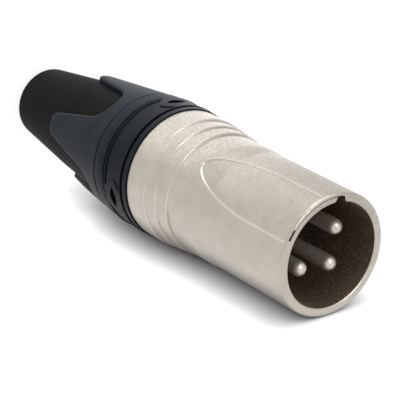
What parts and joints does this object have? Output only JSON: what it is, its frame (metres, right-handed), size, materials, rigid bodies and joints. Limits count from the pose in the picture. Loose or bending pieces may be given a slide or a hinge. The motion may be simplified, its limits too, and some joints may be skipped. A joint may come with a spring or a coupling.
{
  "type": "xlr plug",
  "caption": "Straight male three-contact circular audio cable plug: metal sleeve with recessed pins, screwed strain-relief gland and soft boot.",
  "frame": {"origin": "middle of the boot's flat end, at the bottom of the part", "axes": "+Z along the mating axis from the cable end to the mouth, -Y towards the tongue on the metal sleeve"},
  "size_m": [0.0218, 0.0218, 0.0755],
  "materials": {
    "nickel": "satin nickel plating on a zinc die casting",
    "insert_plastic": "matt moulding",
    "contact_silver": "silver plated, polished",
    "spring_brass": "tinned sheet",
    "chuck_plastic": "moulded",
    "gland_plastic": "satin dark slate grey moulding",
    "boot_rubber": "matt black",
    "ring_plastic": "satin dark slate grey moulding"
  },
  "bodies": {
    "plug_body": {"shell": "nickel", "contact_insert": "insert_plastic", "pin_1": "contact_silver", "pin_2": "contact_silver", "pin_3": "contact_silver", "ground_contact": "spring_brass", "chuck": "chuck_plastic"},
    "ring": {"coding_ring": "ring_plastic"},
    "gland_and_boot": {"gland": "gland_plastic", "boot": "boot_rubber"}
  },
  "joints": [
    {"name": "gland_travel", "type": "slide", "parent": "plug_body", "child": "ring", "axis": [0, 0, -1], "range_m": [0, 0.006]},
    {"name": "gland_turn", "type": "hinge", "parent": "ring", "child": "gland_and_boot", "pos_m": [0, 0, 0.04], "axis": [0, 0, -1], "range_deg": [0, 1440]}
  ],
  "couplings": [
    {"joint": "gland_travel", "follows": "gland_turn", "m_per_rad": 0.00023873}
  ]
}
